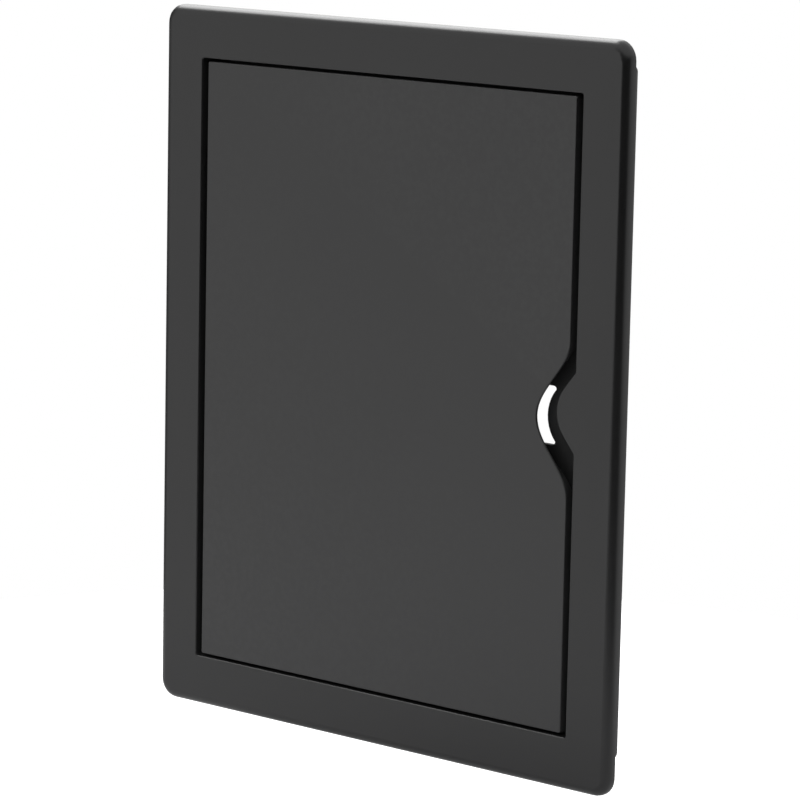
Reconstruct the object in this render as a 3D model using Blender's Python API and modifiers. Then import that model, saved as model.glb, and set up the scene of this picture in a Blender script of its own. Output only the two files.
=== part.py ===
"""Flush access panel for a wall or ceiling: a moulded frame and a hinged door with a finger pull.

Metres. +X is to the right, +Z up, and the front faces -Y. The origin is the centre of the wall
opening, in the plane of the wall's surface, where the frame's rim seats. A depth is measured
back from the bezel's front face.
"""
import math

import bmesh
import bpy
from mathutils import Matrix

# Opening of the frame, seen from the front
OPENING_W = 0.180
OPENING_H = 0.230
OPENING_CORNER_R = 0.0008
OPENING_EDGE_R = 0.0005

# Bezel: a shallow tray, open towards the wall
BEZEL_W = 0.0193
BEZEL_DEPTH = 0.0044
BEZEL_CORNER_R = 0.0072
BEZEL_EDGE_R = 0.0032
BEZEL_FACE_T = 0.0020
BEZEL_RIM_T = 0.0020

# Collar that goes into the wall opening
COLLAR_INSET = 0.0098
COLLAR_BEHIND_WALL = 0.0149
COLLAR_T = 0.0020
COLLAR_CORNER_R = 0.0025
COLLAR_LEAD_IN = 0.0007

# Jamb and the ledge that stops the door
JAMB_T = 0.0020
LEDGE_DEPTH = 0.0050
LEDGE_T = 0.0020
LEDGE_W = 0.0060
LEDGE_CORNER_R = 0.0012

# Door: a plate with a skirt
GAP_SIDE = 0.0026
GAP_END = 0.0012
DOOR_RECESS = 0.0003
DOOR_T = 0.0016
DOOR_CORNER_R = 0.0008
DOOR_EDGE_R = 0.0004
SKIRT_T = 0.0014
SKIRT_CORNER_R = 0.0005
DOOR_RIB_T = 0.0012
LONG_RIB_H = 0.0017
CROSS_RIB_H = 0.0014
LONG_RIB_X = 0.030
CROSS_RIB_Z = 0.052

# Finger pull on the free side: scallop in the door, pocket behind it, tab of the ledge behind that
PULL_Z = -0.0005
SCALLOP_HALF_H = 0.0285
SCALLOP_REACH = 0.0145
POCKET_UNDERCUT = 0.0075
POCKET_MORE_H = 0.0012
LIP_T = 0.0007
LIP_RELIEF = 0.0012
LIP_HALF_H = 0.0210
TAB_MORE_W = 0.0034
TAB_MORE_H = 0.0033
SLOT_H = 0.0213
SLOT_W = 0.0068
SLOT_INNER_R = 0.0140
SLOT_END_R = 0.0012
SLOT_SHOWN = 0.0015
TONGUE_RISE = 0.0029
TONGUE_REACH = 0.0080
TONGUE_TIP_R = 0.0133
TONGUE_FLANK = math.radians(38.7)

# Hinge on the other side
HINGE_FROM_EDGE = 0.0032
HINGE_DEPTH = 0.0045
HINGE_FROM_END = 0.0370
PIN_R = 0.0010
PIN_HEAD_R = 0.0020
PIN_HEAD_T = 0.0009
PIN_TAIL = 0.0006
PIN_SOFT = 0.0003
KNUCKLE_R = 0.0029
KNUCKLE_L = 0.0140
KNUCKLE_WEB_T = 0.0028
KNUCKLE_WEB_SETBACK = 0.0005
LUG_R = 0.0023
LUG_T = 0.0040
LUG_BACK = 0.0012
CHANNEL_CLEARANCE = 0.0004
CHANNEL_T = 0.0018
CHANNEL_INNER_W = 0.0041
CHANNEL_WALL_T = 0.0015

# Magnetic catch behind the free edge
CATCH_FROM_END = 0.0450
CATCH_FROM_EDGE = 0.0130
MAGNET_W = 0.0100
MAGNET_H = 0.0160
MAGNET_T = 0.0030
MAGNET_EDGE_R = 0.0003
KEEPER_W = 0.0100
KEEPER_H = 0.0180
KEEPER_T = 0.0010
KEEPER_EDGE_R = 0.0002
SEAT_WALL = 0.0014
SEAT_FLOOR = 0.0012
SEAT_SETBACK = 0.0001

# Gussets between jamb and collar, and spacers under the bezel
RIB_T = 0.0014
GUSSET_TOE = 0.0012
GUSSET_FROM_REAR = 0.0088
GUSSET_FROM_END = 0.0100
GUSSET_FROM_SIDE = 0.0240
GUSSET_SIDE_PITCH = 0.0590
GUSSET_END_PITCH = 0.0440
SPACER_SETBACK = 0.0004

# Screw holes through the collar
SCREW_R = 0.0021
SCREW_HEAD_R = 0.0036
SCREW_FROM_REAR = 0.0044
SCREW_FROM_END = 0.0400
SCREW_FROM_SIDE = 0.0460

# Clearances
FIT = 0.0003
BURY = 0.0005
OVERSHOOT = 0.0020
SAME_PLACE = 0.000001

# A bevel's profile for a true arc, the most that a flat face may fold, the least angle of a crease,
# and the least cosine of a face that is straight along an axis
ROUND = 0.5
FLAT_DEG = 0.01
CREASE_DEG = 30
STRAIGHT = 0.9999

# Fineness of the round shapes
CORNER_STEPS = 8
EDGE_STEPS = 5
SOFT_STEPS = 3
BLOCK_STEPS = 2
TURN_STEPS = 5
BELL_STEPS = 30
ARC_STEPS = 10
BORE_SIDES = 24

# Colours and roughness of the materials
FRAME_BLACK = 0.020
DOOR_BLACK = 0.022
FERRITE_GREY = 0.045
STEEL_COLOUR = (0.56, 0.57, 0.58)
ZINC_COLOUR = (0.62, 0.63, 0.65)
FRAME_ROUGH = 0.42
DOOR_ROUGH = 0.45
FERRITE_ROUGH = 0.62
STEEL_ROUGH = 0.32
ZINC_ROUGH = 0.38

# Worked out from the sizes above
FRONT_Y = -BEZEL_DEPTH
BEZEL_HALF_W = OPENING_W / 2 + BEZEL_W
BEZEL_HALF_H = OPENING_H / 2 + BEZEL_W
COLLAR_HALF_W = BEZEL_HALF_W - COLLAR_INSET
COLLAR_HALF_H = BEZEL_HALF_H - COLLAR_INSET
COLLAR_DEPTH = BEZEL_DEPTH + COLLAR_BEHIND_WALL
LEDGE_BACK = LEDGE_DEPTH + LEDGE_T
DOOR_HALF_W = OPENING_W / 2 - GAP_SIDE
DOOR_HALF_H = OPENING_H / 2 - GAP_END
DOOR_BACK = DOOR_RECESS + DOOR_T
SKIRT_BACK = LEDGE_DEPTH - FIT
POCKET_HALF_H = SCALLOP_HALF_H + POCKET_MORE_H
POCKET_REACH = SCALLOP_REACH + POCKET_UNDERCUT
TAB_HALF_H = POCKET_HALF_H + TAB_MORE_H
TAB_X = DOOR_HALF_W - POCKET_REACH - SKIRT_T - TAB_MORE_W
LEDGE_X = OPENING_W / 2 - LEDGE_W
SLOT_X = DOOR_HALF_W - SCALLOP_REACH + SLOT_SHOWN
HINGE_X = HINGE_FROM_EDGE - DOOR_HALF_W
HINGE_SWEEP = math.hypot(HINGE_FROM_EDGE, HINGE_DEPTH - DOOR_RECESS)
HINGE_ZS = (OPENING_H / 2 - HINGE_FROM_END, HINGE_FROM_END - OPENING_H / 2)
BORE_R = PIN_R + FIT
LUG_Z = KNUCKLE_L / 2 + FIT
CHANNEL_DEPTH = HINGE_DEPTH + HINGE_SWEEP + CHANNEL_CLEARANCE
CHANNEL_BACK = CHANNEL_DEPTH + CHANNEL_T
CHANNEL_X = HINGE_X + CHANNEL_INNER_W
CATCH_X = OPENING_W / 2 - CATCH_FROM_EDGE
CATCH_ZS = (OPENING_H / 2 - CATCH_FROM_END, CATCH_FROM_END - OPENING_H / 2)
GUSSET_Z = OPENING_H / 2 - GUSSET_FROM_END
GUSSET_X = OPENING_W / 2 - GUSSET_FROM_SIDE
GUSSET_ZS = (-GUSSET_Z, GUSSET_SIDE_PITCH - GUSSET_Z, 0.0, GUSSET_Z - GUSSET_SIDE_PITCH, GUSSET_Z)
GUSSET_XS = (-GUSSET_X, GUSSET_END_PITCH - GUSSET_X, GUSSET_X - GUSSET_END_PITCH, GUSSET_X)
SCREW_Z = OPENING_H / 2 - SCREW_FROM_END
SCREW_X = OPENING_W / 2 - SCREW_FROM_SIDE


def depth_y(depth):
    """World Y of a depth behind the bezel's front face."""
    return FRONT_Y + depth


def clear_scene():
    for obj in list(bpy.data.objects):
        bpy.data.objects.remove(obj, do_unlink=True)


def new_collection(name):
    found = bpy.data.collections.new(name)
    bpy.context.scene.collection.children.link(found)
    return found


def plastic(name, shade, roughness):
    """A dyed plastic of one grey shade."""
    made = bpy.data.materials.new(name)
    made.use_nodes = True
    shader = made.node_tree.nodes["Principled BSDF"]
    shader.inputs["Base Color"].default_value = (shade, shade, shade, 1.0)
    shader.inputs["Roughness"].default_value = roughness
    return made


def metal(name, colour, roughness):
    """A bare metal of one colour."""
    made = bpy.data.materials.new(name)
    made.use_nodes = True
    shader = made.node_tree.nodes["Principled BSDF"]
    shader.inputs["Base Color"].default_value = (*colour, 1.0)
    shader.inputs["Roughness"].default_value = roughness
    shader.inputs["Metallic"].default_value = 1.0
    return made


def new_object(name, mesh, collection):
    obj = bpy.data.objects.new(name, mesh)
    collection.objects.link(obj)
    return obj


def as_tool(obj):
    """Marks a shape that only cuts or joins another."""
    obj.hide_render = True
    obj.display_type = "WIRE"
    return obj


def shade_round(mesh):
    """Smooth on the round faces, flat on those that face straight along an axis."""
    for face in mesh.polygons:
        face.use_smooth = max(abs(part) for part in face.normal) < STRAIGHT


# Outlines: lists of points, each with its side-to-side and its up-and-down place

def bell(z, half_h, reach):
    """An S-curve, a hollow and an S-curve back: how far the edge lies in at height z."""
    if abs(z) >= half_h:
        return 0.0
    return reach * (1 + math.cos(math.pi * z / half_h)) / 2


def corner_arc(x, z, radius, start_deg):
    """A quarter turn about a corner's centre, anticlockwise."""
    points = []
    for step in range(TURN_STEPS + 1):
        angle = math.radians(start_deg + 90 * step / TURN_STEPS)
        points.append((x + radius * math.cos(angle), z + radius * math.sin(angle)))
    return points


def belled_outline(left, right, half_h, radius, bell_half_h, bell_reach):
    """A rectangle with round corners and a bell-shaped hollow in its right side."""
    points = corner_arc(left + radius, -half_h + radius, radius, 180)
    points += corner_arc(right - radius, -half_h + radius, radius, 270)
    for step in range(BELL_STEPS + 1):
        z = bell_half_h * (2 * step / BELL_STEPS - 1)
        points.append((right - bell(z, bell_half_h, bell_reach), PULL_Z + z))
    points += corner_arc(right - radius, half_h - radius, radius, 0)
    points += corner_arc(left + radius, half_h - radius, radius, 90)
    return points


def tongue_points(margin):
    """The tongue that the frame's right side sends into the opening, bottom to top.

    A flank that leans by TONGUE_FLANK from the vertical meets the tip's arc at that same turn.
    """
    centre_x = OPENING_W / 2 - TONGUE_REACH + TONGUE_TIP_R
    centre_z = PULL_Z + TONGUE_RISE
    radius = TONGUE_TIP_R - margin
    base_x = OPENING_W / 2 + margin
    tip_half = radius * math.sin(TONGUE_FLANK)
    tip_x = centre_x - radius * math.cos(TONGUE_FLANK)
    base_half = tip_half + (base_x - tip_x) / math.tan(TONGUE_FLANK)
    points = [(base_x, centre_z - base_half)]
    for step in range(ARC_STEPS + 1):
        turn = TONGUE_FLANK * (2 * step / ARC_STEPS - 1)
        points.append((centre_x - radius * math.cos(turn), centre_z + radius * math.sin(turn)))
    points.append((base_x, centre_z + base_half))
    return points


def opening_outline(margin):
    """The frame's opening with its tongue, moved outwards by a margin."""
    half_w = OPENING_W / 2 + margin
    half_h = OPENING_H / 2 + margin
    radius = OPENING_CORNER_R + margin
    points = corner_arc(-half_w + radius, -half_h + radius, radius, 180)
    points += corner_arc(half_w - radius, -half_h + radius, radius, 270)
    points += tongue_points(margin)
    points += corner_arc(half_w - radius, half_h - radius, radius, 0)
    points += corner_arc(-half_w + radius, half_h - radius, radius, 90)
    return points


def slot_outline():
    """The finger slot: a stretch of a ring, bowed like the door's scallop, with round corners."""
    centre_x = SLOT_X + SLOT_INNER_R
    outer_r = SLOT_INNER_R + SLOT_W
    half = SLOT_H / 2
    points = []
    inner = math.asin((half - SLOT_END_R) / SLOT_INNER_R)
    outer = math.asin((half - SLOT_END_R) / outer_r)
    for step in range(ARC_STEPS + 1):
        turn = inner * (2 * step / ARC_STEPS - 1)
        points.append((centre_x - SLOT_INNER_R * math.cos(turn), PULL_Z + SLOT_INNER_R * math.sin(turn)))
    points += slot_end(points[-1], centre_x - outer_r * math.cos(outer), 1)
    for step in range(ARC_STEPS + 1):
        turn = outer * (1 - 2 * step / ARC_STEPS)
        points.append((centre_x - outer_r * math.cos(turn), PULL_Z + outer_r * math.sin(turn)))
    points += slot_end(points[0], centre_x - outer_r * math.cos(outer), -1)[::-1]
    return points


def slot_end(inner_end, outer_x, side):
    """The two rounded corners at one end of the slot, from its inner to its outer bow."""
    far_z = PULL_Z + side * SLOT_H / 2
    points = []
    for step in range(1, SOFT_STEPS + 1):
        angle = math.pi / 2 * step / SOFT_STEPS
        reach = SLOT_END_R * (1 - math.cos(angle))
        points.append((inner_end[0] - reach, far_z - side * SLOT_END_R * (1 - math.sin(angle))))
    for step in range(SOFT_STEPS):
        angle = math.pi / 2 * step / SOFT_STEPS
        reach = SLOT_END_R * (1 - math.sin(angle))
        points.append((outer_x + reach, far_z - side * SLOT_END_R * (1 - math.cos(angle))))
    return points


def pocket_outline():
    """What the finger pocket takes out behind the plate: the side beyond its bell-shaped wall."""
    beyond = DOOR_HALF_W + OVERSHOOT
    points = [(beyond, PULL_Z - POCKET_HALF_H)]
    for step in range(1, BELL_STEPS):
        z = POCKET_HALF_H * (2 * step / BELL_STEPS - 1)
        points.append((DOOR_HALF_W - bell(z, POCKET_HALF_H, POCKET_REACH), PULL_Z + z))
    points.append((beyond, PULL_Z + POCKET_HALF_H))
    return points


def relief_outline(reach):
    """The side beyond the scallop's edge, moved under the plate by a reach."""
    beyond = DOOR_HALF_W + OVERSHOOT
    points = [(beyond, PULL_Z - LIP_HALF_H)]
    for step in range(BELL_STEPS + 1):
        z = LIP_HALF_H * (2 * step / BELL_STEPS - 1)
        edge_x = DOOR_HALF_W - bell(z, SCALLOP_HALF_H, SCALLOP_REACH)
        points.append((edge_x - reach, PULL_Z + z))
    points.append((beyond, PULL_Z + LIP_HALF_H))
    return points


# Solids

# The axes along which an outline's own two directions and its thickness lie
FACING_FRONT = "XZY"
FACING_UP = "XYZ"
FACING_RIGHT = "YZX"


def face_outwards(work):
    """Turns the faces of a closed mesh so that they all face out of it."""
    bmesh.ops.recalc_face_normals(work, faces=work.faces)
    if work.calc_volume(signed=True) < 0:
        bmesh.ops.reverse_faces(work, faces=work.faces)


def prism(name, loops, facing, span, collection):
    """A flat outline, with any holes in it, carried between two places on the axis it faces."""
    curve = bpy.data.curves.new(name, "CURVE")
    curve.dimensions = "2D"
    curve.fill_mode = "BOTH"
    curve.extrude = 1.0
    for loop in loops:
        spline = curve.splines.new("POLY")
        spline.points.add(len(loop) - 1)
        for point, (u, v) in zip(spline.points, loop):
            point.co = (u, v, 0.0, 1.0)
        spline.use_cyclic_u = True
    drawn = new_object(name, curve, collection)
    bpy.context.view_layer.update()
    mesh = bpy.data.meshes.new_from_object(drawn.evaluated_get(bpy.context.evaluated_depsgraph_get()))
    bpy.data.objects.remove(drawn, do_unlink=True)
    work = bmesh.new()
    work.from_mesh(mesh)
    bmesh.ops.remove_doubles(work, verts=work.verts, dist=SAME_PLACE)
    inner = [e for e in work.edges if e.calc_face_angle(math.pi) < math.radians(FLAT_DEG)]
    bmesh.ops.dissolve_edges(work, edges=inner, use_verts=False)
    first, second, along = ("XYZ".index(axis) for axis in facing)
    for vert in work.verts:
        u, v, w = vert.co
        vert.co[first] = u
        vert.co[second] = v
        vert.co[along] = span[1] if w > 0 else span[0]
    face_outwards(work)
    work.to_mesh(mesh)
    work.free()
    shade_round(mesh)
    return new_object(name, mesh, collection)


def front_prism(name, loops, depth_from, depth_to, collection):
    """A prism whose outline is seen from the front, between two depths."""
    return prism(name, loops, FACING_FRONT, (depth_y(depth_from), depth_y(depth_to)), collection)


def box(name, x_range, depth_range, z_range, collection):
    """A block between two places on each axis."""
    spans = [sorted(x_range), [depth_y(depth) for depth in depth_range], sorted(z_range)]
    work = bmesh.new()
    bmesh.ops.create_cube(work, size=1.0)
    for vert in work.verts:
        vert.co = [span[1] if place > 0 else span[0] for span, place in zip(spans, vert.co)]
    mesh = bpy.data.meshes.new(name)
    work.to_mesh(mesh)
    work.free()
    return new_object(name, mesh, collection)


def cone(name, radii, axis, place, ends, collection):
    """A turned solid with a radius at each of two places along its axis; a bore if they are alike."""
    work = bmesh.new()
    bmesh.ops.create_cone(work, cap_ends=True, segments=BORE_SIDES, radius1=radii[0], radius2=radii[1],
                          depth=1.0)
    along = "XYZ".index(axis)
    across = [(along + 1) % 3, (along + 2) % 3]
    for vert in work.verts:
        u, v, w = vert.co
        vert.co[along] = ends[1] if w > 0 else ends[0]
        vert.co[across[0]] = place[across[0]] + u
        vert.co[across[1]] = place[across[1]] + v
    face_outwards(work)
    for face in work.faces:
        face.smooth = len(face.verts) < BORE_SIDES
    mesh = bpy.data.meshes.new(name)
    work.to_mesh(mesh)
    work.free()
    return new_object(name, mesh, collection)


def rounded_block(name, half_w, half_h, depth_from, depth_to, corner_r, edge, collection):
    """A block with round corners seen from the front, and one softened edge loop.

    edge is (depth of the loop, radius, steps).
    """
    made = box(name, (-half_w, half_w), (depth_from, depth_to), (-half_h, half_h), collection)
    work = bmesh.new()
    work.from_mesh(made.data)
    uprights = [e for e in work.edges if abs(e.verts[0].co.y - e.verts[1].co.y) > SAME_PLACE]
    bmesh.ops.bevel(work, geom=uprights, offset=corner_r, segments=CORNER_STEPS, profile=ROUND,
                    affect="EDGES")
    loop_depth, radius, steps = edge
    bmesh.ops.bevel(work, geom=edges_at(work, loop_depth), offset=radius, segments=steps, profile=ROUND,
                    affect="EDGES")
    work.to_mesh(made.data)
    work.free()
    shade_round(made.data)
    return made


def edges_at(work, depth):
    """The outer edges of the flat face at a depth."""
    y = depth_y(depth)
    return [e for e in work.edges if all(abs(v.co.y - y) < SAME_PLACE for v in e.verts)
            and e.calc_face_angle(0.0) > math.radians(CREASE_DEG)]


def loft(name, rings, collection):
    """A closed skin over like outlines at rising depths: (outline, depth) pairs."""
    work = bmesh.new()
    rows = []
    for outline, depth in rings:
        rows.append([work.verts.new((x, depth_y(depth), z)) for x, z in outline])
    for near, far in zip(rows, rows[1:]):
        count = len(near)
        for i in range(count):
            j = (i + 1) % count
            work.faces.new((near[i], near[j], far[j], far[i]))
    work.faces.new(rows[0])
    work.faces.new(rows[-1])
    face_outwards(work)
    mesh = bpy.data.meshes.new(name)
    work.to_mesh(mesh)
    work.free()
    shade_round(mesh)
    return new_object(name, mesh, collection)


def combine(target, tool, operation):
    """Joins a tool shape to the target, or cuts it away."""
    step = target.modifiers.new(operation.lower() + "_" + tool.name, "BOOLEAN")
    step.operation = operation
    step.solver = "EXACT"
    step.object = as_tool(tool)


def join(target, tool):
    combine(target, tool, "UNION")


def cut(target, tool):
    combine(target, tool, "DIFFERENCE")


# The frame

def frame_body(parts, tools):
    """The bezel's tray, with its face towards the front."""
    frame = rounded_block("frame", BEZEL_HALF_W, BEZEL_HALF_H, 0.0, BEZEL_DEPTH, BEZEL_CORNER_R,
                          (0.0, BEZEL_EDGE_R, EDGE_STEPS), parts)
    hollow = rounded_block("bezel_hollow", BEZEL_HALF_W - BEZEL_RIM_T, BEZEL_HALF_H - BEZEL_RIM_T,
                           BEZEL_FACE_T, BEZEL_DEPTH + OVERSHOOT, BEZEL_CORNER_R - BEZEL_RIM_T,
                           (BEZEL_DEPTH + OVERSHOOT, BURY, 1), tools)
    cut(frame, hollow)
    return frame


def add_collar(frame, tools):
    outer = rounded_block("collar_outer", COLLAR_HALF_W, COLLAR_HALF_H, BEZEL_FACE_T - BURY,
                          COLLAR_DEPTH, COLLAR_CORNER_R, (COLLAR_DEPTH, COLLAR_LEAD_IN, 1), tools)
    inner = rounded_block("collar_inner", COLLAR_HALF_W - COLLAR_T, COLLAR_HALF_H - COLLAR_T,
                          BEZEL_FACE_T, COLLAR_DEPTH + OVERSHOOT, COLLAR_CORNER_R - COLLAR_T,
                          (COLLAR_DEPTH + OVERSHOOT, BURY, 1), tools)
    join(frame, outer)
    cut(frame, inner)


def add_jamb(frame, tools):
    """The wall round the opening, the ledge at its foot and the deep channel on the hinge side."""
    half_w = OPENING_W / 2 + JAMB_T
    half_h = OPENING_H / 2 + JAMB_T
    channel_x = CHANNEL_X + CHANNEL_WALL_T
    root, step_y, back = (depth_y(d) for d in (BEZEL_FACE_T - BURY, LEDGE_BACK, CHANNEL_BACK))
    profile = [(-half_w, root), (half_w, root), (half_w, step_y), (channel_x, step_y), (channel_x, back),
               (-half_w, back)]
    join(frame, prism("jamb_block", [profile], FACING_UP, (-half_h, half_h), tools))
    add_gussets(frame, tools)
    steps = []
    for step in range(EDGE_STEPS + 1):
        angle = math.pi / 2 * step / EDGE_STEPS
        margin = OPENING_EDGE_R * (1 - math.sin(angle))
        steps.append((opening_outline(margin), OPENING_EDGE_R * (1 - math.cos(angle))))
    rings = [(opening_outline(OPENING_EDGE_R), -OVERSHOOT)] + steps
    rings.append((opening_outline(0.0), LEDGE_DEPTH))
    cut(frame, loft("opening_cut", rings, tools))
    cut(frame, box("channel_cut", (-OPENING_W / 2, CHANNEL_X), (LEDGE_DEPTH - BURY, CHANNEL_DEPTH),
                   (-OPENING_H / 2, OPENING_H / 2), tools))
    clear = belled_outline(channel_x, LEDGE_X, OPENING_H / 2 - LEDGE_W, LEDGE_CORNER_R, TAB_HALF_H,
                           LEDGE_X - TAB_X)
    cut(frame, front_prism("clear_way", [clear], LEDGE_DEPTH - BURY, CHANNEL_BACK + OVERSHOOT, tools))
    cut(frame, front_prism("finger_slot", [slot_outline()], LEDGE_DEPTH - BURY,
                           LEDGE_BACK + OVERSHOOT, tools))
    hollow = tongue_points(JAMB_T)
    far_x = OPENING_W / 2 + JAMB_T
    hollow[0] = (far_x + BURY, hollow[0][1])
    hollow[-1] = (far_x + BURY, hollow[-1][1])
    cut(frame, front_prism("tongue_hollow", [hollow], BEZEL_FACE_T, LEDGE_BACK + OVERSHOOT, tools))


def add_gussets(frame, tools):
    """Ribs that tie the jamb to the collar, and spacers between collar and rim."""
    jamb_w = OPENING_W / 2 + JAMB_T
    jamb_h = OPENING_H / 2 + JAMB_T
    spacer_from = BEZEL_FACE_T - BURY
    spacer_to = BEZEL_DEPTH - SPACER_SETBACK
    for side, word in ((-1, "left"), (1, "right")):
        for index, z in enumerate(GUSSET_ZS):
            near_x = side * (jamb_w - BURY)
            far_x = side * (COLLAR_HALF_W - COLLAR_T + BURY)
            outline = gusset_outline(near_x, far_x)
            join(frame, prism(f"gusset_{word}_{index}", [outline], FACING_UP,
                              (z - RIB_T / 2, z + RIB_T / 2), tools))
            rim_x = side * (BEZEL_HALF_W - BEZEL_RIM_T + BURY)
            wall_x = side * (COLLAR_HALF_W - BURY)
            join(frame, box(f"spacer_{word}_{index}", (wall_x, rim_x), (spacer_from, spacer_to),
                            (z - RIB_T / 2, z + RIB_T / 2), tools))
    for side, word in ((-1, "bottom"), (1, "top")):
        for index, x in enumerate(GUSSET_XS):
            near_z = side * (jamb_h - BURY)
            far_z = side * (COLLAR_HALF_H - COLLAR_T + BURY)
            outline = [(y, z) for z, y in gusset_outline(near_z, far_z)]
            join(frame, prism(f"gusset_{word}_{index}", [outline], FACING_RIGHT,
                              (x - RIB_T / 2, x + RIB_T / 2), tools))
            rim_z = side * (BEZEL_HALF_H - BEZEL_RIM_T + BURY)
            wall_z = side * (COLLAR_HALF_H - BURY)
            join(frame, box(f"spacer_{word}_{index}", (x - RIB_T / 2, x + RIB_T / 2),
                            (spacer_from, spacer_to), (wall_z, rim_z), tools))


def gusset_outline(near, far):
    """A rib's outline: low at the jamb, higher at the collar, in place and world Y."""
    root = depth_y(BEZEL_FACE_T - BURY)
    low = depth_y(LEDGE_BACK - GUSSET_TOE)
    high = depth_y(COLLAR_DEPTH - GUSSET_FROM_REAR)
    return [(near, root), (far, root), (far, high), (near, low)]


def add_hinge_lugs(frame, tools):
    """Two lugs for each knuckle, standing on the channel's floor, with a bore for the pin."""
    for word, z in zip(("upper", "lower"), HINGE_ZS):
        for end, side in (("top", 1), ("foot", -1)):
            near = z + side * LUG_Z
            span = sorted((near, near + side * LUG_T))
            join(frame, prism(f"lug_{word}_{end}", [lug_outline()], FACING_UP, span, tools))
        reach = LUG_Z + LUG_T + OVERSHOOT
        cut(frame, cone(f"lug_bore_{word}", (BORE_R, BORE_R), "Z", (HINGE_X, depth_y(HINGE_DEPTH), z),
                        (z - reach, z + reach), tools))


def lug_outline():
    """Round about the pin in front, and straight back to the channel's floor."""
    axis_y = depth_y(HINGE_DEPTH)
    floor_y = depth_y(CHANNEL_DEPTH + BURY)
    points = [(HINGE_X + LUG_R, floor_y)]
    start = 0.0
    stop = -math.pi - math.acos(LUG_BACK / LUG_R)
    for step in range(2 * ARC_STEPS + 1):
        angle = start + (stop - start) * step / (2 * ARC_STEPS)
        points.append((HINGE_X + LUG_R * math.cos(angle), axis_y + LUG_R * math.sin(angle)))
    points.append((HINGE_X - LUG_BACK, floor_y))
    return points[::-1]


def add_magnet_seats(frame, tools):
    """A boxed seat behind the ledge for each magnet, open to the door."""
    pocket_w = MAGNET_W / 2 + FIT
    pocket_h = MAGNET_H / 2 + FIT
    pocket_back = LEDGE_DEPTH + MAGNET_T + FIT
    for word, z in zip(("upper", "lower"), CATCH_ZS):
        join(frame, box(f"magnet_seat_{word}",
                        (CATCH_X - pocket_w - SEAT_WALL, OPENING_W / 2 + JAMB_T / 2),
                        (LEDGE_DEPTH + SEAT_SETBACK, pocket_back + SEAT_FLOOR),
                        (z - pocket_h - SEAT_WALL, z + pocket_h + SEAT_WALL), tools))
        cut(frame, box(f"magnet_pocket_{word}", (CATCH_X - pocket_w, CATCH_X + pocket_w),
                       (LEDGE_DEPTH - OVERSHOOT, pocket_back), (z - pocket_h, z + pocket_h), tools))


def add_screw_holes(frame, tools):
    """Countersunk holes through the collar, two on each side."""
    y = depth_y(COLLAR_DEPTH - SCREW_FROM_REAR)
    walls = (("left", "X", -COLLAR_HALF_W), ("right", "X", COLLAR_HALF_W),
             ("bottom", "Z", -COLLAR_HALF_H), ("top", "Z", COLLAR_HALF_H))
    for word, axis, outer in walls:
        for end in (0, 1):
            along = (-SCREW_Z, SCREW_Z)[end] if axis == "X" else (-SCREW_X, SCREW_X)[end]
            place = (outer, y, along) if axis == "X" else (along, y, outer)
            screw_hole(frame, f"screw_{word}_{end}", place, axis, math.copysign(1.0, outer), tools)


def screw_hole(frame, name, place, axis, side, tools):
    """A plain hole, and a cone that opens towards the inside of the collar."""
    outer = place["XYZ".index(axis)]
    inner = outer - side * COLLAR_T
    beyond = (outer + side * OVERSHOOT, inner - side * OVERSHOOT)
    cut(frame, cone(name, (SCREW_R, SCREW_R), axis, place, beyond, tools))
    sink = SCREW_HEAD_R - SCREW_R
    ends = (inner + side * sink, inner - side * sink)
    cut(frame, cone(name + "_sink", (SCREW_R, SCREW_HEAD_R + sink), axis, place, ends, tools))


# The door

def door_body(parts, tools):
    """A tray with a scalloped edge, softened in front and hollowed and cut away behind the plate.

    Behind the scallop's edge the plate thins to a lip that a fingertip can hook.
    """
    outer = belled_outline(-DOOR_HALF_W, DOOR_HALF_W, DOOR_HALF_H, DOOR_CORNER_R, SCALLOP_HALF_H,
                           SCALLOP_REACH)
    door = front_prism("door", [outer], DOOR_RECESS, SKIRT_BACK, parts)
    work = bmesh.new()
    work.from_mesh(door.data)
    bmesh.ops.bevel(work, geom=edges_at(work, DOOR_RECESS), offset=DOOR_EDGE_R, segments=SOFT_STEPS,
                    profile=ROUND, affect="EDGES")
    work.to_mesh(door.data)
    work.free()
    shade_round(door.data)
    inner = belled_outline(SKIRT_T - DOOR_HALF_W, DOOR_HALF_W - SKIRT_T, DOOR_HALF_H - SKIRT_T,
                           SKIRT_CORNER_R, POCKET_HALF_H + SKIRT_T, POCKET_REACH)
    beyond = SKIRT_BACK + OVERSHOOT
    cut(door, front_prism("door_hollow", [inner], DOOR_BACK, beyond, tools))
    cut(door, front_prism("finger_pocket", [pocket_outline()], DOOR_BACK, beyond, tools))
    more = BURY * (DOOR_T - LIP_T) / LIP_RELIEF
    relief = [(relief_outline(-BURY), DOOR_RECESS + LIP_T - more),
              (relief_outline(LIP_RELIEF + BURY), DOOR_BACK + more)]
    cut(door, loft("lip_relief", relief, tools))
    return door


def add_door_ribs(door, tools):
    """Stiffening ribs across the back of the plate: two long ones and three lower cross ones."""
    reach_z = DOOR_HALF_H - SKIRT_T / 2
    reach_x = DOOR_HALF_W - SKIRT_T / 2
    pocket_x = DOOR_HALF_W - POCKET_REACH - SKIRT_T / 2
    for word, x in (("left", -LONG_RIB_X), ("right", LONG_RIB_X)):
        join(door, box(f"long_rib_{word}", (x - DOOR_RIB_T / 2, x + DOOR_RIB_T / 2),
                       (DOOR_BACK - BURY, DOOR_BACK + LONG_RIB_H), (-reach_z, reach_z), tools))
    for word, z, right in (("upper", CROSS_RIB_Z, reach_x), ("middle", PULL_Z, pocket_x),
                           ("lower", -CROSS_RIB_Z, reach_x)):
        join(door, box(f"cross_rib_{word}", (-reach_x, right), (DOOR_BACK - BURY, DOOR_BACK + CROSS_RIB_H),
                       (z - DOOR_RIB_T / 2, z + DOOR_RIB_T / 2), tools))


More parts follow.
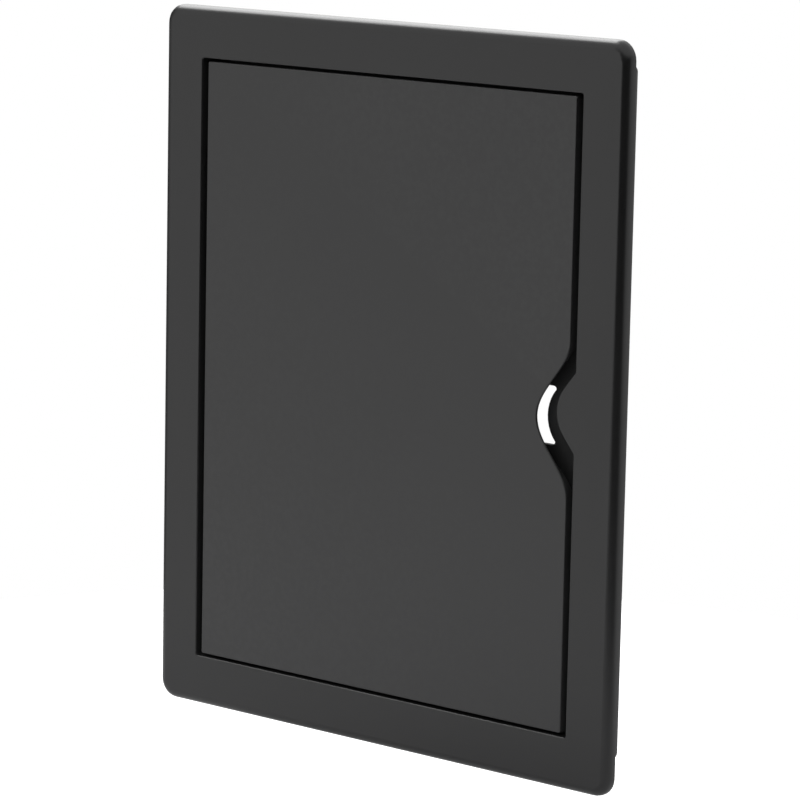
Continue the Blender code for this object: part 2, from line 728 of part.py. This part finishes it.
def add_knuckles(door, tools):
    """A bored barrel at each hinge, tied to the plate; the skirt is left out round the lugs."""
    half_gap = LUG_Z + LUG_T + PIN_HEAD_T + 2 * FIT
    half = KNUCKLE_L / 2
    half_web = half - KNUCKLE_WEB_SETBACK
    for word, z in zip(("upper", "lower"), HINGE_ZS):
        cut(door, box(f"skirt_gap_{word}", (-DOOR_HALF_W - OVERSHOOT, HINGE_X + LUG_R + FIT),
                      (DOOR_BACK, SKIRT_BACK + OVERSHOOT), (z - half_gap, z + half_gap), tools))
        axis = (HINGE_X, depth_y(HINGE_DEPTH), z)
        join(door, cone(f"knuckle_{word}", (KNUCKLE_R, KNUCKLE_R), "Z", axis, (z - half, z + half), tools))
        join(door, box(f"knuckle_web_{word}", (HINGE_X - KNUCKLE_WEB_T / 2, HINGE_X + KNUCKLE_WEB_T / 2),
                       (DOOR_BACK - BURY, HINGE_DEPTH), (z - half_web, z + half_web), tools))
        cut(door, cone(f"knuckle_bore_{word}", (BORE_R, BORE_R), "Z", axis,
                       (z - half - OVERSHOOT, z + half + OVERSHOOT), tools))


def add_keeper_seats(door, tools):
    """A raised seat on the back of the plate for each steel keeper."""
    pocket_w = KEEPER_W / 2 + FIT
    pocket_h = KEEPER_H / 2 + FIT
    for word, z in zip(("upper", "lower"), CATCH_ZS):
        join(door, box(f"keeper_seat_{word}",
                       (CATCH_X - pocket_w - SEAT_WALL, DOOR_HALF_W - SKIRT_T / 2),
                       (DOOR_BACK - BURY, SKIRT_BACK - SEAT_SETBACK),
                       (z - pocket_h - SEAT_WALL, z + pocket_h + SEAT_WALL), tools))
        cut(door, box(f"keeper_pocket_{word}", (CATCH_X - pocket_w, CATCH_X + pocket_w),
                      (SKIRT_BACK - KEEPER_T - FIT, SKIRT_BACK + OVERSHOOT),
                      (z - pocket_h, z + pocket_h), tools))


# The small pieces

def hinge_pin(word, z, parts):
    """A turned pin: a flat head on top of the upper lug, and a softened tail below the lower one."""
    head_foot = LUG_Z + LUG_T + FIT
    head_top = head_foot + PIN_HEAD_T
    tail = -(LUG_Z + LUG_T + PIN_TAIL)
    profile = [(0.0, head_top), (PIN_HEAD_R - PIN_SOFT, head_top), (PIN_HEAD_R, head_top - PIN_SOFT),
               (PIN_HEAD_R, head_foot), (PIN_R, head_foot), (PIN_R, tail + PIN_SOFT),
               (PIN_R - PIN_SOFT, tail), (0.0, tail)]
    mesh = bpy.data.meshes.new(f"hinge_pin_{word}")
    lines = [(i, i + 1) for i in range(len(profile) - 1)]
    mesh.from_pydata([(x, 0.0, up) for x, up in profile], lines, [])
    pin = new_object(f"hinge_pin_{word}", mesh, parts)
    pin.location = (HINGE_X, depth_y(HINGE_DEPTH), z)
    turned = pin.modifiers.new("turned", "SCREW")
    turned.axis = "Z"
    turned.steps = BORE_SIDES
    turned.render_steps = BORE_SIDES
    turned.use_merge_vertices = True
    turned.merge_threshold = SAME_PLACE
    return pin


def soft_block(name, place, depths, size, edge_r, parts):
    """A small block with softened edges, centred on a place and lying between two depths."""
    width, height = size
    made = box(name, (-width / 2, width / 2), depths, (-height / 2, height / 2), parts)
    middle = depth_y(sum(depths) / 2)
    made.data.transform(Matrix.Translation((0.0, -middle, 0.0)))
    made.location = (place[0], middle, place[1])
    soft = made.modifiers.new("soft_edges", "BEVEL")
    soft.width = edge_r
    soft.segments = BLOCK_STEPS
    return made


def carry(parent, *children):
    """The children keep their place and turn with the parent."""
    for child in children:
        child.parent = parent
        child.matrix_parent_inverse = Matrix.Translation(parent.location).inverted()


def build():
    clear_scene()
    parts = new_collection("access_panel")
    tools = new_collection("cutters")
    plastic_frame = plastic("frame_plastic", FRAME_BLACK, FRAME_ROUGH)
    plastic_door = plastic("door_plastic", DOOR_BLACK, DOOR_ROUGH)
    steel = metal("pin_steel", STEEL_COLOUR, STEEL_ROUGH)
    ferrite = plastic("magnet_ferrite", FERRITE_GREY, FERRITE_ROUGH)
    zinc = metal("keeper_zinc", ZINC_COLOUR, ZINC_ROUGH)

    frame = frame_body(parts, tools)
    add_collar(frame, tools)
    add_jamb(frame, tools)
    add_hinge_lugs(frame, tools)
    add_magnet_seats(frame, tools)
    add_screw_holes(frame, tools)
    frame.data.materials.append(plastic_frame)

    door = door_body(parts, tools)
    add_door_ribs(door, tools)
    add_knuckles(door, tools)
    add_keeper_seats(door, tools)
    door.data.materials.append(plastic_door)
    hinge = (HINGE_X, depth_y(HINGE_DEPTH), 0.0)
    door.data.transform(Matrix.Translation(hinge).inverted())
    door.location = hinge
    carry(door, *[step.object for step in door.modifiers])

    for word, z in zip(("upper", "lower"), HINGE_ZS):
        pin = hinge_pin(word, z, parts)
        pin.data.materials.append(steel)
        carry(frame, pin)
    for word, z in zip(("upper", "lower"), CATCH_ZS):
        magnet = soft_block(f"catch_magnet_{word}", (CATCH_X, z), (LEDGE_DEPTH, LEDGE_DEPTH + MAGNET_T),
                            (MAGNET_W, MAGNET_H), MAGNET_EDGE_R, parts)
        magnet.data.materials.append(ferrite)
        keeper = soft_block(f"keeper_plate_{word}", (CATCH_X, z), (SKIRT_BACK - KEEPER_T, SKIRT_BACK),
                            (KEEPER_W, KEEPER_H), KEEPER_EDGE_R, parts)
        keeper.data.materials.append(zinc)
        carry(frame, magnet)
        carry(door, keeper)


build()
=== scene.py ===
"""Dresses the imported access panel: moulded plastic, steel and ferrite, in a white studio."""
import math
import bmesh
import bpy
from mathutils import Matrix, Vector


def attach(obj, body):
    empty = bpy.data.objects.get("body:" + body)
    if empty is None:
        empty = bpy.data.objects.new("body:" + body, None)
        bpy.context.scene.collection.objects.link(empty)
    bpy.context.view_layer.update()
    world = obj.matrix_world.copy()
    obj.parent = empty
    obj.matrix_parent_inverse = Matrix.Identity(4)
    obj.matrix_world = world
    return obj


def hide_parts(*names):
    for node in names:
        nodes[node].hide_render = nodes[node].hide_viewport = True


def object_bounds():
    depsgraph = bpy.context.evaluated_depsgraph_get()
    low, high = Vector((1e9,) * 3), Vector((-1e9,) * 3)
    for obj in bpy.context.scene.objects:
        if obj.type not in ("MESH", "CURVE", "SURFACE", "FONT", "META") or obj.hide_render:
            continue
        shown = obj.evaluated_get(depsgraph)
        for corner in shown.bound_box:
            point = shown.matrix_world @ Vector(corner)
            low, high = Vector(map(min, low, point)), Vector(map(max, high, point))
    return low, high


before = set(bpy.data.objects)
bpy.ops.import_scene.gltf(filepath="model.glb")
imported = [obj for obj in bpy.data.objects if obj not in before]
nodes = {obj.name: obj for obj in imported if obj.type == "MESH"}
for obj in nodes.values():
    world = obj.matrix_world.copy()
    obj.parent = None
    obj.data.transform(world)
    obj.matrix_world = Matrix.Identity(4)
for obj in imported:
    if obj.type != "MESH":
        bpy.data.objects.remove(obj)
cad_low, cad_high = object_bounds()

scene = bpy.context.scene
scene.view_settings.view_transform = "Standard"

WHITE = (1.0, 1.0, 1.0, 1.0)


class Tree:
    """A short way to write a node tree."""

    def __init__(self, owner):
        self.nodes = owner.node_tree.nodes
        self.links = owner.node_tree.links

    def add(self, kind, inputs=None, **settings):
        node = self.nodes.new(kind)
        for key, value in settings.items():
            setattr(node, key, value)
        for key, value in (inputs or {}).items():
            if isinstance(value, bpy.types.NodeSocket):
                self.links.new(value, node.inputs[key])
            else:
                node.inputs[key].default_value = value
        return node

    def math(self, operation, first, second=0.0):
        return self.add("ShaderNodeMath", {0: first, 1: second}, operation=operation).outputs[0]

    def times(self, first, second):
        return self.math("MULTIPLY", first, second)

    def larger(self, first, second):
        return self.math("MAXIMUM", first, second)

    def noise(self, vector, scale, detail, rough=0.5):
        made = self.add("ShaderNodeTexNoise", {"Vector": vector, "Scale": scale, "Detail": detail,
                                               "Roughness": rough})
        return made.outputs["Fac"]

    def spread(self, value, low, high, to_low, to_high):
        made = self.add("ShaderNodeMapRange", {"Value": value, "From Min": low, "From Max": high,
                                               "To Min": to_low, "To Max": to_high})
        return made.outputs["Result"]

    def ramp(self, factor, stops):
        made = self.add("ShaderNodeValToRGB", {"Fac": factor})
        bar = made.color_ramp.elements
        while len(bar) < len(stops):
            bar.new(0.5)
        for element, (place, colour) in zip(bar, stops):
            element.position = place
            element.color = (*colour, 1.0)
        return made.outputs["Color"]


def grey(level):
    return (level, level, level * 1.01)


def fresh_material(name):
    """A new material, its node tree and its shader."""
    made = bpy.data.materials.new(name)
    made.use_nodes = True
    tree = Tree(made)
    return made, tree, tree.nodes["Principled BSDF"]


def add_relief(tree, shader, height, strength, depth):
    """Bumps of the given depth in metres."""
    bump = tree.add("ShaderNodeBump", {"Strength": strength, "Distance": depth, "Height": height})
    tree.links.new(bump.outputs["Normal"], shader.inputs["Normal"])


# Noise scales, in cells per metre
GRAIN_SCALE = 2600.0
FLOW_SCALE = 14.0
RUB_SCALE = 420.0
STAIN_SCALE = 160.0
MEAL_SCALE = 2400.0

PLASTIC_IOR = 1.5
# How strongly rubbed edges show, and how much paler they are than the plastic
WORN_SHARE = 0.5
WORN_LEVEL = 1.8
METAL_RELIEF = 0.00002
FERRITE_RELIEF = 0.00004


def moulded_plastic(name, level, roughness, grain_depth, specular):
    """Dyed plastic from an etched mould: a fine grain, faint flow marks and paler rubbed edges."""
    made, tree, shader = fresh_material(name)
    place = tree.add("ShaderNodeTexCoord").outputs["Object"]
    grain = tree.noise(place, GRAIN_SCALE, 2.0)
    flow = tree.noise(place, FLOW_SCALE, 3.0)
    rubbed = tree.noise(place, RUB_SCALE, 4.0, 0.65)
    edge = tree.add("ShaderNodeNewGeometry").outputs["Pointiness"]
    worn = tree.times(tree.spread(edge, 0.515, 0.60, 0.0, 1.0), tree.spread(rubbed, 0.42, 0.62, 0.2, 1.0))
    base = tree.ramp(flow, [(0.25, grey(level * 0.93)), (0.75, grey(level * 1.07))])
    mix = tree.add("ShaderNodeMix", {0: tree.times(worn, WORN_SHARE)}, data_type="RGBA")
    tree.links.new(base, mix.inputs[6])
    mix.inputs[7].default_value = (*grey(level * WORN_LEVEL), 1.0)
    tree.links.new(mix.outputs[2], shader.inputs["Base Color"])
    rough = tree.math("ADD", tree.spread(grain, 0.3, 0.7, roughness - 0.03, roughness + 0.03),
                      tree.spread(flow, 0.3, 0.7, -0.015, 0.015))
    tree.links.new(rough, shader.inputs["Roughness"])
    add_relief(tree, shader, grain, 1.0, grain_depth)
    shader.inputs["IOR"].default_value = PLASTIC_IOR
    shader.inputs["Specular IOR Level"].default_value = specular
    return made


def drawn_metal(name, level, roughness, streak):
    """Bare metal with fine streaks along one axis and a little staining."""
    made, tree, shader = fresh_material(name)
    place = tree.add("ShaderNodeTexCoord").outputs["Object"]
    pulled = tree.add("ShaderNodeMapping", {"Vector": place, "Scale": streak}).outputs["Vector"]
    lines = tree.noise(pulled, 1.0, 3.0)
    stain = tree.noise(place, STAIN_SCALE, 3.0)
    colour = tree.ramp(stain, [(0.3, grey(level * 0.82)), (0.6, grey(level))])
    tree.links.new(colour, shader.inputs["Base Color"])
    rough = tree.spread(lines, 0.3, 0.7, roughness - 0.06, roughness + 0.08)
    tree.links.new(rough, shader.inputs["Roughness"])
    add_relief(tree, shader, lines, 0.6, METAL_RELIEF)
    shader.inputs["Metallic"].default_value = 1.0
    return made


def ferrite(name):
    """Pressed and ground ferrite: dark grey and mealy."""
    made, tree, shader = fresh_material(name)
    place = tree.add("ShaderNodeTexCoord").outputs["Object"]
    meal = tree.noise(place, MEAL_SCALE, 3.0, 0.7)
    colour = tree.ramp(meal, [(0.35, grey(0.045)), (0.7, grey(0.085))])
    tree.links.new(colour, shader.inputs["Base Color"])
    tree.links.new(tree.spread(meal, 0.3, 0.7, 0.5, 0.7), shader.inputs["Roughness"])
    add_relief(tree, shader, meal, 0.7, FERRITE_RELIEF)
    return made


def dress(obj, material):
    obj.data.materials.clear()
    obj.data.materials.append(material)


# Specular levels of the outer faces and of the matt inside. The inside's low level is painted shade that
# cuts the reflections in the recesses, gaps and softened edges
FRAME_SPECULAR = 0.5
DOOR_SPECULAR = 0.55
INSIDE_SHADE_SPECULAR = 0.12

frame_plastic = moulded_plastic("frame_plastic", 0.0105, 0.32, 0.000010, FRAME_SPECULAR)
door_plastic = moulded_plastic("door_plastic", 0.0165, 0.34, 0.000011, DOOR_SPECULAR)
# The inside copies are rougher, paler and weakly reflecting, with tones set as painted shade for the
# recesses and gaps
frame_inside_shaded = moulded_plastic("frame_inside_shaded", 0.0235, 0.72, 0.000020, INSIDE_SHADE_SPECULAR)
door_inside_shaded = moulded_plastic("door_inside_shaded", 0.0480, 0.66, 0.000020, INSIDE_SHADE_SPECULAR)
pin_steel = drawn_metal("pin_steel", 0.56, 0.30, (900.0, 900.0, 40.0))
keeper_zinc = drawn_metal("keeper_zinc", 0.62, 0.36, (60.0, 900.0, 900.0))
magnet_ferrite = ferrite("magnet_ferrite")

# Faces this far behind the front and within these half sizes are the matt inside of the two mouldings. Their
# weak reflection is painted shade in the recesses
INSIDE_FROM = 0.0008
INSIDE_X = 0.0903
INSIDE_Z = 0.1153
MATT_SHADE_INDEX = 1

# The softening is clamped, so where faces are small it stays well under this radius
SOFT_R = 0.00009
SOFT_ANGLE_DEG = 60
SOFT_SEGMENTS = 2
WELD = 0.000002
FACE_WEIGHT = 100


def finer(node, material, inside, body):
    """A copy of a moulded CAD node with its edges softened and its inside matt. The inside and the softened
    edges take the weakly reflecting copy, painted shade that dims them.
    """
    mesh = node.data.copy()
    work = bmesh.new()
    work.from_mesh(mesh)
    bmesh.ops.remove_doubles(work, verts=work.verts, dist=WELD)
    work.to_mesh(mesh)
    work.free()
    mesh.normals_split_custom_set([(0.0, 0.0, 0.0)] * len(mesh.loops))
    mesh.shade_smooth()
    piece = bpy.data.objects.new(node.name + "_moulded", mesh)
    scene.collection.objects.link(piece)
    soft = piece.modifiers.new("soft", "BEVEL")
    soft.limit_method = "ANGLE"
    soft.angle_limit = math.radians(SOFT_ANGLE_DEG)
    soft.width = SOFT_R
    soft.segments = SOFT_SEGMENTS
    soft.use_clamp_overlap = True
    # The softened edges take the matt inside copy, a painted dimming of their highlight
    soft.material = MATT_SHADE_INDEX
    weigh = piece.modifiers.new("weigh", "WEIGHTED_NORMAL")
    weigh.keep_sharp = True
    weigh.weight = FACE_WEIGHT
    dress(piece, material)
    piece.data.materials.append(inside)
    for face in mesh.polygons:
        x, y, z = face.center
        if y > cad_low.y + INSIDE_FROM and abs(x) < INSIDE_X and abs(z) < INSIDE_Z:
            face.material_index = MATT_SHADE_INDEX
    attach(piece, body)
    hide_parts(node.name)


finer(nodes["frame"], frame_plastic, frame_inside_shaded, "frame")
finer(nodes["door"], door_plastic, door_inside_shaded, "door")

MATERIAL_OF = {"hinge_pin": pin_steel, "catch_magnet": magnet_ferrite, "keeper_plate": keeper_zinc,
               "door": door_plastic, "frame": frame_plastic}
for name, node in nodes.items():
    for start, material in MATERIAL_OF.items():
        if name.startswith(start):
            dress(node, material)

# The camera, from the fit to the photo's edges: turns in radians, lengths in metres
FRAME_PX = 800
SENSOR_MM = 36
FOCAL_PX = 3910.6
YAW = -0.69751
PITCH = 0.16965
ROLL = -0.02045
CENTRE_PX = (379.05, 389.05)
DISTANCE = 1.4306
FRONT_Y = -0.0044
CLIP_START = 0.05

turn = Matrix.Rotation(ROLL, 3, "Z") @ Matrix.Rotation(PITCH, 3, "X") @ Matrix.Rotation(YAW, 3, "Y")
to_fit = Matrix(((1, 0, 0), (0, 0, 1), (0, -1, 0)))
aside = (CENTRE_PX[0] - FRAME_PX / 2) / FOCAL_PX * DISTANCE
raised = -(CENTRE_PX[1] - FRAME_PX / 2) / FOCAL_PX * DISTANCE
offset = Vector((aside, raised, -DISTANCE))
rows = turn @ to_fit
eye = rows.transposed() @ (-offset) + Vector((0.0, FRONT_Y, 0.0))
camera = bpy.data.objects.new("camera", bpy.data.cameras.new("camera"))
camera.data.lens = FOCAL_PX * SENSOR_MM / FRAME_PX
camera.data.sensor_width = SENSOR_MM
camera.data.clip_start = CLIP_START
camera.matrix_world = Matrix.Translation(eye) @ rows.transposed().to_4x4()
scene.collection.objects.link(camera)
scene.camera = camera

# The studio's light, by direction: a bright left, a dark side in front on the right, light above
DARK = 0.02
LEFT = 1.17
FAR_LEFT = 0.12
RIGHT = 0.70
ABOVE = 1.0
# Azimuths in degrees, 0 straight in front of the panel and positive to its right
LEFT_RISE = (-78, -40)
LEFT_FALL = (-29, -16)
RIGHT_RISE = (78, 106)
# The rest are parts of a direction of length 1
ABOVE_RISE = (0.42, 0.62)
# The strip up on the left that the top rounding mirrors, brighter towards its top
STRIP_X = -0.62
STRIP_HALF_X = (0.14, 0.22)
STRIP_Y = (-0.28, -0.18)
STRIP_GAIN = 12.0
STRIP_FROM_Z = 0.02
# The card that reflections alone see, for the rounding at the corner
CARD_Z = (0.20, 0.40)
CARD_X = (-0.45, -0.25)

world = bpy.data.worlds.new("studio")
scene.world = world
world.use_nodes = True
tree = Tree(world)
tree.nodes.clear()
direction = tree.add("ShaderNodeTexCoord").outputs["Generated"]
along_x, along_y, along_z = tree.add("ShaderNodeSeparateXYZ", {0: direction}).outputs
azimuth = tree.math("ARCTAN2", along_x, tree.times(along_y, -1.0))


def by_azimuth(span, at_low, at_high):
    return tree.spread(azimuth, math.radians(span[0]), math.radians(span[1]), at_low, at_high)


left = tree.times(by_azimuth(LEFT_RISE, FAR_LEFT, LEFT), by_azimuth(LEFT_FALL, 1.0, DARK))
right = by_azimuth(RIGHT_RISE, DARK, RIGHT)
above = tree.spread(along_z, *ABOVE_RISE, DARK, ABOVE)
room = tree.larger(left, tree.larger(right, above))
beside = tree.math("ABSOLUTE", tree.math("SUBTRACT", along_x, STRIP_X))
in_strip = tree.times(tree.spread(beside, *STRIP_HALF_X, 1.0, 0.0), tree.spread(along_y, *STRIP_Y, 0.0, 1.0))
gain = tree.math("ADD", tree.times(tree.times(along_z, along_z), STRIP_GAIN), 1.0)
strip = tree.times(tree.times(in_strip, gain), tree.math("GREATER_THAN", along_z, STRIP_FROM_Z))
rays = tree.add("ShaderNodeLightPath")
on_card = tree.times(tree.spread(along_z, *CARD_Z, 0.0, 1.0), tree.spread(along_x, *CARD_X, 0.0, 1.0))
card = tree.times(on_card, rays.outputs["Is Glossy Ray"])
shown = tree.larger(rays.outputs["Is Camera Ray"], rays.outputs["Is Transmission Ray"])
lights = tree.larger(tree.larger(room, strip), card)
strength = tree.larger(lights, shown)
background = tree.add("ShaderNodeBackground", {"Color": WHITE, "Strength": strength})
tree.add("ShaderNodeOutputWorld", {"Surface": background.outputs[0]})

# The pale floor, a disc under the panel. Reflections see it a little darker from MIRRORED_Y on, towards the
# panel: painted shade
FLOOR_R = 0.36
FLOOR_DROP = 0.02
FLOOR_SIDES = 64
FLOOR_ROUGHNESS = 0.9
FLOOR_LEVEL = 0.70
FLOOR_SHADE_MIRRORED = 0.64
MIRRORED_Y = (-0.16, -0.05)
FLOOR_GLOW = 0.62

angles = [2 * math.pi * i / FLOOR_SIDES for i in range(FLOOR_SIDES)]
rim = [(FLOOR_R * math.cos(a), FLOOR_R * math.sin(a), cad_low.z - FLOOR_DROP) for a in angles]
floor_mesh = bpy.data.meshes.new("floor")
floor_mesh.from_pydata(rim, [], [tuple(range(FLOOR_SIDES))])
floor = bpy.data.objects.new("floor", floor_mesh)
scene.collection.objects.link(floor)
floor_paint, tree, shader = fresh_material("floor_paint")
shader.inputs["Roughness"].default_value = FLOOR_ROUGHNESS
shader.inputs["Specular IOR Level"].default_value = 0.0
rays = tree.add("ShaderNodeLightPath")
across = tree.add("ShaderNodeSeparateXYZ", {0: tree.add("ShaderNodeTexCoord").outputs["Object"]}).outputs[1]
# Painted shade: glossy rays see the floor darker close to the panel
near_shade = tree.times(tree.spread(across, *MIRRORED_Y, 0.0, 1.0), rays.outputs["Is Glossy Ray"])
paint = tree.ramp(near_shade, [(0.0, grey(FLOOR_LEVEL)), (1.0, grey(FLOOR_SHADE_MIRRORED))])
tree.links.new(paint, shader.inputs["Base Color"])
glow = tree.add("ShaderNodeEmission", {"Color": WHITE,
                                       "Strength": tree.times(rays.outputs["Is Camera Ray"], FLOOR_GLOW)})
both = tree.add("ShaderNodeAddShader")
tree.links.new(shader.outputs[0], both.inputs[0])
tree.links.new(glow.outputs[0], both.inputs[1])
tree.links.new(both.outputs[0], tree.nodes["Material Output"].inputs["Surface"])
floor_mesh.materials.append(floor_paint)
